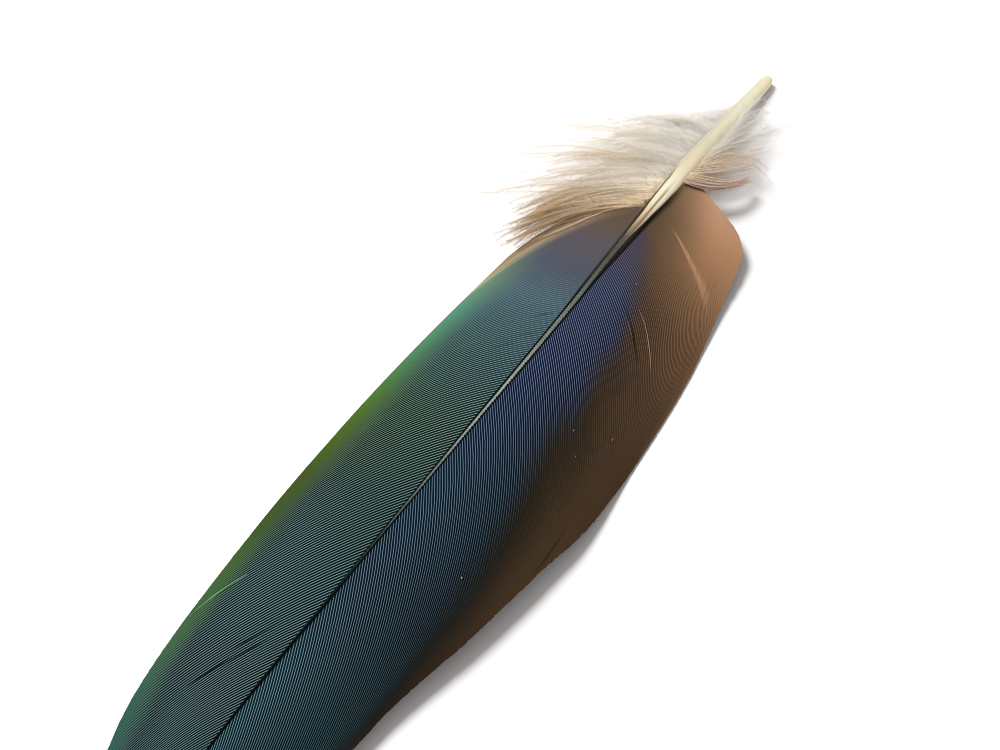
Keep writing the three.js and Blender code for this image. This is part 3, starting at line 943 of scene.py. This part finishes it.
def quill_shape():
    """The quill's mesh: rings round the shaft's line, closed at both ends."""
    turns = (np.arange(QUILL_SIDES) + 0.5) / QUILL_SIDES * 2 * np.pi
    off = np.cos(turns) / 2
    top = np.clip(np.sin(turns), 0, 1)
    rings = []
    for i in range(1, QUILL_RINGS + 1):
        s = SHAFT_END * (i / QUILL_RINGS) ** RING_CROWDING
        wide = float(shaft_width(s))
        cut = GROOVE_DEPTH * float(groove(s)) * np.exp(-((off - GROOVE_MIDDLE) / GROOVE_WIDTH) ** 2) * top
        height = np.maximum(shaft_height(s) + wide * (np.sin(turns) / 2 - cut), 0)
        rings.append(place(s, shaft_sweep(s) + wide * off, height))
    start = place(0, shaft_sweep(0), shaft_height(0))
    end = place(SHAFT_END + POINT_LENGTH, shaft_sweep(SHAFT_END), shaft_height(SHAFT_END))
    points = np.concatenate([start[None], *rings, end[None]])
    faces = []
    for side in range(QUILL_SIDES):
        after = (side + 1) % QUILL_SIDES
        faces.append((0, 1 + side, 1 + after))
        last = 1 + (QUILL_RINGS - 1) * QUILL_SIDES
        faces.append((len(points) - 1, last + after, last + side))
        for ring in range(QUILL_RINGS - 1):
            a, b = 1 + ring * QUILL_SIDES, 1 + (ring + 1) * QUILL_SIDES
            faces.append((a + side, b + side, b + after, a + after))
    mesh = bpy.data.meshes.new("quill_horn")
    mesh.from_pydata(points, [], faces)
    mesh.shade_smooth()
    seen_off = np.where(np.sin(turns) > UNDERSIDE_FROM, off, UNDERSIDE)
    offs = np.concatenate([[0], np.tile(seen_off, QUILL_RINGS), [0]]).astype(np.float32)
    mesh.attributes.new("off", "FLOAT", "POINT").data.foreach_set("value", offs)
    return mesh


quill_mesh = quill_shape()
quill = bpy.data.objects.new("quill_horn", quill_mesh)
bpy.context.scene.collection.objects.link(quill)
print("quill", len(quill_mesh.polygons), "faces")

# %% [markdown]
# The bare end is ivory. Further on, the ivory narrows to a pale wedge, then to a grey stripe between black
# edges, and from two thirds of the length on the shaft is black. So the finish is two ramps, a pale and a
# dark one, with a stripe between them whose middle and half width change along the shaft. The pale colours
# also carry painted light: the side towards the lamp is painted darker and the side towards the inner vane,
# away from the lamp, paler, which evens out the lamp's shading on the horn, and along the groove on the pale
# wedge a brown line is painted as the groove's shade. Horn lets some light in, so it has subsurface
# scattering.

# %% The quill's finish
# How much paler the side away from the lamp is painted, as painted light against the lamp's shading.
SHADED_SIDE_LIFT = 1.26
STRIPE_OUT, STRIPE_IN = 1.12, 0.86
# Where the painted shade along the groove starts and is full, and its brown.
GROOVE_SHADE_OUT, GROOVE_SHADE_IN = 0.12, 0.02
GROOVE_SHADE_COLOUR = srgb(118, 98, 72)


def quill_finish():
    """Horn: ivory at the bare end, then a pale stripe between dark edges, then black."""
    material, tree, shader = new_material("quill horn")
    along, off = along_share(tree), fact(tree, "off")
    middle = curve_of(tree, along, [
        (0, 0), (26, -0.1), (30, -0.13), (33, -0.06), (36, -0.05), (40, -0.045), (45, 0), (49, 0),
        (56, -0.05), (66, -0.08), (72, -0.14), (78, -0.16), (86, -0.12), (92, -0.06), (100, 0.03),
        (150, 0.03),
    ])
    half = curve_of(tree, along, [
        (0, 2), (24, 2), (26.5, 0.75), (28, 0.5), (30, 0.43), (33, 0.36), (36, 0.335), (39, 0.275),
        (42, 0.24), (46, 0.16), (52, 0.14), (60, 0.17), (66, 0.2), (78, 0.21), (86, 0.19), (92, 0.165),
        (102, 0.14), (112, 0.1), (150, 0.1),
    ])
    distance = calc(tree, "ABSOLUTE", calc(tree, "SUBTRACT", off, middle))
    outer_edge, inner_edge = (calc(tree, "MULTIPLY", half, share) for share in (STRIPE_OUT, STRIPE_IN))
    inside = between(tree, distance, outer_edge, inner_edge)
    pale = ramp(tree, along, [
        (0.0, 211, 207, 175), (0.05, 212, 208, 187), (0.14, 202, 197, 172), (0.18, 211, 200, 172),
        (0.22, 220, 215, 191), (0.245, 219, 208, 180), (0.262, 190, 174, 144), (0.28, 148, 133, 108),
        (0.3, 82, 77, 70), (0.33, 78, 76, 70), (0.37, 90, 94, 88), (0.44, 124, 128, 118),
        (0.5, 164, 168, 152), (0.55, 156, 162, 150), (0.6, 116, 122, 113), (0.64, 88, 94, 87),
        (0.68, 44, 52, 50), (0.73, 6, 16, 16), (0.8, 0, 9, 10),
    ])
    # Painted shade: a brown line drawn along the groove on the pale wedge.
    from_groove = calc(tree, "ABSOLUTE", calc(tree, "SUBTRACT", off, GROOVE_MIDDLE))
    groove_shade = calc(tree, "MULTIPLY", between(tree, from_groove, GROOVE_SHADE_OUT, GROOVE_SHADE_IN), curve_of(tree, along, [
        (0, 0), (28, 0), (33, 0.25), (37, 0.75), (42, 0.75), (47, 0.1), (60, 0), (150, 0),
    ]))
    pale = mixed(tree, groove_shade, pale, GROOVE_SHADE_COLOUR)
    dark = ramp(tree, along, [
        (0.16, 200, 186, 150), (0.2, 132, 112, 80), (0.235, 70, 58, 40), (0.27, 38, 34, 27),
        (0.3, 46, 43, 36), (0.34, 36, 37, 34), (0.4, 20, 24, 23), (0.68, 6, 14, 14), (0.76, 0, 8, 9),
    ])
    # Painted light: the outer side, towards the lamp, is painted darker and the inner side paler, against the
    # lamp's shading.
    lit_side_dimming = curve_of(tree, along, [
        (0, 0.62), (26, 0.62), (31, 0.74), (36, 0.78), (60, 0.88), (150, 0.88),
    ])
    outwards = between(tree, off, -0.5, 0.5)
    less = calc(tree, "MULTIPLY", outwards, calc(tree, "SUBTRACT", lit_side_dimming, SHADED_SIDE_LIFT))
    pale = times(tree, pale, calc(tree, "ADD", less, SHADED_SIDE_LIFT))
    tree.links.new(mixed(tree, inside, dark, pale), shader.inputs["Base Color"])
    set_inputs(shader, {
        "Roughness": 0.5, "Specular IOR Level": 0.04, "Subsurface Weight": 1,
        "Subsurface Radius": (1, 0.9, 0.7), "Subsurface Scale": 2.5 * MM,
    })
    print("quill's finish has", len(tree.nodes), "nodes")
    return material


quill_mesh.materials.append(quill_finish())
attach(quill, "root")
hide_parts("quill")

# %% [markdown]
# Down is what a barb becomes when its barbules don't hook together: a soft thread with finer threads all
# along it. Each tuft is a fan of such barbs from the quill's sides. Hair would be the usual way to make it,
# but hair isn't kept as a mesh, so a tree sweeps each thread and sets small leaning barbules on it, a tenth
# or a fifth of a millimetre apart, each a three-sided spike.

# %% The tree that grows down
BARBULE_LEAN = (0.78, 0, 0.62)
BARBULE_ROLL = 1.0
BARBULE_AT_TIP = 0.35
BARBULE_LENGTHS = (0.55, 1.2)
SAME_POINT = 1e-7
ABOVE_TABLE = 0.02


def down_tree():
    """Sweeps every edge line as a thread and sets leaning barbules along it, on both its sides."""
    tree, given, identifiers, out = new_tree(
        "down", ("Spacing", "Float"), ("Barbule length", "Float"), ("Barbule width", "Float"),
        ("Seed", "Int"),
    )
    lines = turned_lines(tree, given)
    ring = add(tree, "GeometryNodeCurvePrimitiveCircle", {"Resolution": 3, "Radius": 0.5}).outputs[0]
    threads = swept(tree, lines, ring, named(tree, "width"))

    def chance(low, high, offset):
        """A random number between low and high for each barbule."""
        node = add(tree, "FunctionNodeRandomValue", data_type="FLOAT")
        for socket in node.inputs:
            if socket.name in ("Min", "Max") and socket.type == "VALUE" and socket.enabled:
                socket.default_value = low if socket.name == "Min" else high
        tree.links.new(calc(tree, "ADD", given["Seed"], offset), node.inputs["Seed"])
        return next(o for o in node.outputs if o.type == "VALUE" and o.enabled)

    places = add(
        tree, "GeometryNodeCurveToPoints", {"Curve": lines, "Length": given["Spacing"]}, mode="LENGTH",
    )
    barbule = add(tree, "GeometryNodeCurvePrimitiveLine", {"Start": (0, 0, 0), "End": BARBULE_LEAN})
    half_turn = calc(tree, "MULTIPLY", calc(tree, "FLOOR", chance(0, 2, 1)), math.pi)
    roll_about = calc(tree, "ADD", half_turn, chance(-BARBULE_ROLL, BARBULE_ROLL, 2))
    rolled = add(tree, "ShaderNodeCombineXYZ", {2: roll_about}).outputs[0]
    rolled = add(tree, "FunctionNodeEulerToRotation", {0: rolled}).outputs[0]
    facing = add(
        tree, "FunctionNodeRotateRotation",
        {"Rotation": places.outputs["Rotation"], "Rotate By": rolled}, rotation_space="LOCAL",
    )
    shorter = add(tree, "ShaderNodeMapRange", {
        "Value": named(tree, "share"), "To Min": 1.0, "To Max": BARBULE_AT_TIP,
    })
    length = calc(tree, "MULTIPLY", given["Barbule length"], shorter.outputs[0])
    length = calc(tree, "MULTIPLY", length, chance(*BARBULE_LENGTHS, 3))
    length = calc(tree, "MULTIPLY", length, named(tree, "fluff"))
    barbules = add(tree, "GeometryNodeInstanceOnPoints", {
        "Points": places.outputs["Points"], "Instance": barbule.outputs[0],
        "Rotation": facing.outputs[0], "Scale": length,
    })
    real = add(tree, "GeometryNodeRealizeInstances", {"Geometry": barbules.outputs[0]}).outputs[0]
    run = add(tree, "GeometryNodeSplineParameter").outputs["Factor"]
    thinner = add(tree, "ShaderNodeMapRange", {"Value": run, "To Min": 1.0, "To Max": 0.0}).outputs[0]
    hairs = swept(tree, real, ring, calc(tree, "MULTIPLY", given["Barbule width"], thinner))
    pointed = add(tree, "GeometryNodeMergeByDistance", {"Geometry": hairs, "Distance": SAME_POINT}).outputs[0]
    both = add(tree, "GeometryNodeJoinGeometry")
    for source in (threads, pointed):
        tree.links.new(source, both.inputs[0])

    position = add(tree, "GeometryNodeInputPosition").outputs[0]
    parts = add(tree, "ShaderNodeSeparateXYZ", {0: position}).outputs
    above = calc(tree, "MAXIMUM", parts["Z"], ABOVE_TABLE * MM)
    kept = add(tree, "ShaderNodeCombineXYZ", {0: parts["X"], 1: parts["Y"], 2: above}).outputs[0]
    lifted = add(tree, "GeometryNodeSetPosition", {"Geometry": both.outputs[0], "Position": kept})
    finish_tree(tree, given, lifted.outputs[0], out)
    return tree, identifiers


growth_tree, growth_sockets = down_tree()
print("down tree has", len(growth_tree.nodes), "nodes")

# %% [markdown]
# Both tufts follow the solids' rule: where a barb starts, how long it is, at which angle it leaves, how
# much it turns and how high its tip lies all run evenly from the first barb of a fan to the last. On the
# outer side the barbs sweep towards the tip. On the inner side they curl back round, like hooks. "rise"
# lifts the roots, "late" keeps the turn for the end, "stray" is how uneven the barbs are, "fluff" how long
# their barbules, and "order" which of the tuft's colours they take.

# %% Fans of down
outer_fans = [
    {
        "count": 98, "start": (16.5, 34), "length": (12.5, 21), "angle": (82, 58), "turn": (-22, -26),
        "tip": (2, 3.8), "rise": 0, "late": 1, "stray": 1, "fluff": 1, "order": (0, 0.7),
    },
    {
        "count": 22, "start": (9, 18), "length": (8, 12), "angle": (30, 74), "turn": (-4, -14),
        "tip": (2.4, 3), "rise": 0, "late": 1, "stray": 1, "fluff": 1, "order": (0, 0.1),
    },
    {
        "count": 96, "start": (31.5, 37.8), "length": (20, 21), "angle": (58, 54), "turn": (-30, -34),
        "tip": (4, 4.3), "rise": 0.5, "late": 1, "stray": 0.4, "fluff": 0.6, "order": (0.72, 1),
    },
]
inner_fans = [
    {
        "count": 40, "start": (28.4, 30.9), "length": (9.4, 11.4), "angle": (103, 104), "turn": (64, 88),
        "tip": (2.8, 3.3), "rise": 1.2, "late": 1.6, "stray": 0.3, "fluff": 0.35, "order": (0.8, 1),
    },
    {
        "count": 52, "start": (21.5, 28.6), "length": (10, 9.6), "angle": (160, 112), "turn": (0, 52),
        "tip": (2.4, 3), "rise": 0.7, "late": 1, "stray": 0.8, "fluff": 0.6, "order": (0.3, 0.8),
    },
    {
        "count": 10, "start": (24.5, 26.5), "length": (9.5, 11), "angle": (150, 140), "turn": (-60, -80),
        "tip": (2.8, 3.2), "rise": 0.6, "late": 2.5, "stray": 0.5, "fluff": 0.5, "order": (0.6, 0.85),
    },
    {
        "count": 26, "start": (13, 23), "length": (7, 12), "angle": (174, 160), "turn": (-8, -10),
        "tip": (1.8, 2.8), "rise": 0, "late": 1, "stray": 1, "fluff": 1, "order": (0, 0.2),
    },
]
for name, fans in (("outer", outer_fans), ("inner", inner_fans)):
    print(name, "down has", sum(fan["count"] for fan in fans), "barbs")

# %% [markdown]
# Down is white at the quill's end and tan nearer the vanes, and its tips are darker than its roots. It
# scatters light among its threads, which a soft sheen stands for.

# %% The down's finish
TONE_BY_PLACE = 0.05
TONE_BY_SHARE = 0.12
TIPS_FROM, TIPS_TO = 0.15, 0.95


def down_material(name, root_stops, tip_stops):
    """Soft down: colours at the roots and at the tips, both by each barb's place in the fan."""
    material, tree, shader = new_material(name)
    order, share, tone = fact(tree, "order"), fact(tree, "share"), fact(tree, "tone")
    place_in_fan = calc(tree, "ADD", order, calc(tree, "MULTIPLY", tone, TONE_BY_PLACE))
    uneven_share = calc(tree, "ADD", share, calc(tree, "MULTIPLY", tone, TONE_BY_SHARE))
    outwards = between(tree, uneven_share, TIPS_FROM, TIPS_TO)
    colour = mixed(tree, outwards, ramp(tree, place_in_fan, root_stops), ramp(tree, place_in_fan, tip_stops))
    tree.links.new(colour, shader.inputs["Base Color"])
    set_inputs(shader, {
        "Roughness": 0.8, "Specular IOR Level": 0.1, "Sheen Weight": 0.45, "Sheen Tint": (1, 0.9, 0.76, 1),
        "Sheen Roughness": 0.5,
    })
    print(name, "finish has", len(tree.nodes), "nodes")
    return material


outer_down_material = down_material("outer down", [
    (0, 252, 250, 244), (0.4, 250, 244, 234), (0.7, 252, 242, 224), (0.88, 252, 234, 206), (1, 244, 218, 182),
], [
    (0, 248, 244, 236), (0.3, 240, 228, 202), (0.55, 222, 196, 150), (0.72, 206, 172, 118), (1, 184, 148, 98),
])
inner_down_material = down_material("inner down", [
    (0, 255, 253, 250), (0.3, 254, 248, 238), (0.6, 252, 240, 218), (0.8, 248, 224, 192), (1, 204, 173, 156),
], [
    (0, 255, 253, 250), (0.3, 252, 244, 230), (0.6, 242, 220, 200), (0.85, 234, 206, 188), (1, 228, 204, 192),
])

# %% [markdown]
# A barb of down is a walk in short steps: each step's heading turns a little and sways, so no two barbs are
# alike, and the fixed seed gives the same tuft in every run. The threads taper to their tips, and those
# with little fluff are thicker, because their barbules lie close to them.

# %% Grow the down
DOWN_STEPS = 14
ROOT_AT = 0.42
LOWEST_PATH = 0.3
SPREAD = {"start": 0.1, "length": 0, "angle": 5, "turn": 10, "tip": 0.6}
LENGTH_SPREAD = 0.13
SWAY = 7
SWAY_BEATS = (0.6, 1.6)
PUFF, PUFF_SPREAD = 0.5, 0.7
THREAD_WIDTHS = (0.04, 0.065)
THREAD_TAPER = 0.7
BARBULE_LENGTH = 2
BARBULE_WIDTH = 0.04


def down_paths(fan, side, rng):
    """The barbs of one fan as rows of (along, across, height) points, with each one's order and fluff."""
    count = fan["count"]
    order = (np.arange(count) + rng.random(count)) / count

    def value(name):
        first, last = fan[name]
        return first + (last - first) * order + fan["stray"] * rng.normal(0, SPREAD[name], count)

    begin = value("start")
    length = value("length") * (1 + fan["stray"] * rng.normal(0, LENGTH_SPREAD, count))
    angle, turn, tip = value("angle"), value("turn"), value("tip")
    t = np.linspace(0, 1, DOWN_STEPS)
    beat, phase = rng.uniform(*SWAY_BEATS, (count, 1)), rng.random((count, 1))
    wave = fan["stray"] * rng.normal(0, SWAY, (count, 1)) * np.sin(2 * np.pi * (t[None] * beat + phase))
    heading = np.radians(angle[:, None] + turn[:, None] * t[None] ** fan["late"] + wave)
    step = (length / (DOWN_STEPS - 1))[:, None]
    along = begin[:, None] + np.cumsum(np.cos(heading) * step, axis=1) - np.cos(heading[:, :1]) * step
    out = np.cumsum(np.sin(heading) * step, axis=1) - np.sin(heading[:, :1]) * step
    across = shaft_sweep(begin)[:, None] + side * (shaft_width(begin)[:, None] * ROOT_AT + out)
    puff = fan["stray"] * rng.normal(PUFF, PUFF_SPREAD, (count, 1)) * np.sin(np.pi * t)[None]
    height = (shaft_height(begin)[:, None] + fan["rise"]) * (1 - t)[None] + tip[:, None] * t[None] + puff
    first, last = fan["order"]
    paths = np.stack([along, across, np.maximum(height, LOWEST_PATH)], axis=-1)
    return paths, first + (last - first) * order, np.full(count, fan["fluff"])


def grow_down(node, side, fans, material, spacing, seed):
    """One tuft: its barbs' paths and facts, swept, feathered and standing for the solid tuft."""
    rng = np.random.default_rng(seed)
    laid = [down_paths(fan, side, rng) for fan in fans]
    paths, order, fluff = (np.concatenate(rows) for rows in zip(*laid))
    barbs, steps = paths.shape[:2]
    t = np.linspace(0, 1, steps)
    thing = edge_lines(node + "_barbs", place(*np.moveaxis(paths, -1, 0)), {
        "width": rng.uniform(*THREAD_WIDTHS, (barbs, 1)) / fluff[:, None] * (1 - THREAD_TAPER * t)[None] * MM,
        "sideways": in_frame(unit(np.cross(np.gradient(paths, axis=1), [0, 0, 1]))),
        "share": np.repeat(t[None], barbs, axis=0),
        "order": np.repeat(order[:, None], steps, axis=1),
        "fluff": np.repeat(fluff[:, None], steps, axis=1),
        "tone": np.repeat(rng.normal(0, 1, (barbs, 1)), steps, axis=1),
    })
    grow(thing, growth_tree, growth_sockets, Material=material, Seed=seed, **{
        "Spacing": spacing * MM, "Barbule length": BARBULE_LENGTH * MM, "Barbule width": BARBULE_WIDTH * MM,
    })
    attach(thing, "root")
    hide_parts(node)


grow_down("outer_down", 1, outer_fans, outer_down_material, 0.095, 11)
grow_down("inner_down", -1, inner_fans, inner_down_material, 0.18, 12)
